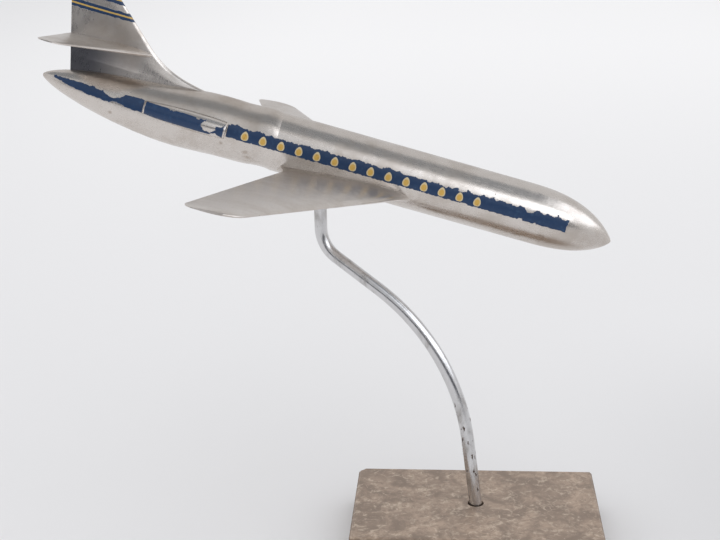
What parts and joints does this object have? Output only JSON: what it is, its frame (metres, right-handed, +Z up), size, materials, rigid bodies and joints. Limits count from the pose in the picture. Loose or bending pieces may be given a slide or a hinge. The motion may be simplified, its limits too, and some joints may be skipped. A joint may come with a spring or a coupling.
{
  "type": "desktop airliner model",
  "caption": "Polished cast-metal airliner with swept wings and rear engine pods, nose down on an S-bent rod that stands in a stone base.",
  "frame": {"origin": "centre of the base's underside, on the felt", "axes": "+X along the base's long side, +Y to its back, +Z up"},
  "size_m": [0.3049, 0.3532, 0.3099],
  "materials": {
    "airframe_cast": "polished casting, worn satin, with a chipped navy cheat line",
    "wing_cast": "polished casting, worn satin",
    "fin_cast": "polished casting with plain navy and gold bands",
    "nacelle_cast": "polished casting, painted navy along its side, chipped",
    "window_gold": "gold transfer film",
    "rod_metal": "polished, lightly pitted",
    "bush_brass": "turned",
    "steel": "plain",
    "stone": "honed mottled limestone",
    "felt": "felt"
  },
  "bodies": {
    "base": {"base_slab": "stone", "base_felt": "felt", "base_washer": "steel"},
    "rod": {"support_rod": "rod_metal", "base_spring_washer": "steel", "base_nut": "steel"},
    "airliner": {"belly_bush": "bush_brass", "clamp_screw": "steel", "fuselage_casting": "airframe_cast", "wing_port": "wing_cast", "wing_starboard": "wing_cast", "wing_front_dowel": "steel", "wing_rear_dowel": "steel", "wing_lock_screws": "steel", "fin": "fin_cast", "fin_dowels": "steel", "tailplane_port": "wing_cast", "tailplane_starboard": "wing_cast", "tailplane_pins": "steel", "nacelle_port": "nacelle_cast", "nacelle_starboard": "nacelle_cast", "nacelle_pins": "steel", "windows_port": "window_gold", "windows_starboard": "window_gold"}
  },
  "joints": [
    {"name": "rod_swivel", "type": "hinge", "parent": "base", "child": "rod", "pos_m": [0, 0, 0.0215], "axis": [0, 0, 1], "continuous": true},
    {"name": "airliner_swivel", "type": "hinge", "parent": "rod", "child": "airliner", "pos_m": [-0.08577, 0.03071, 0.1966], "axis": [0, 0, 1], "continuous": true}
  ]
}
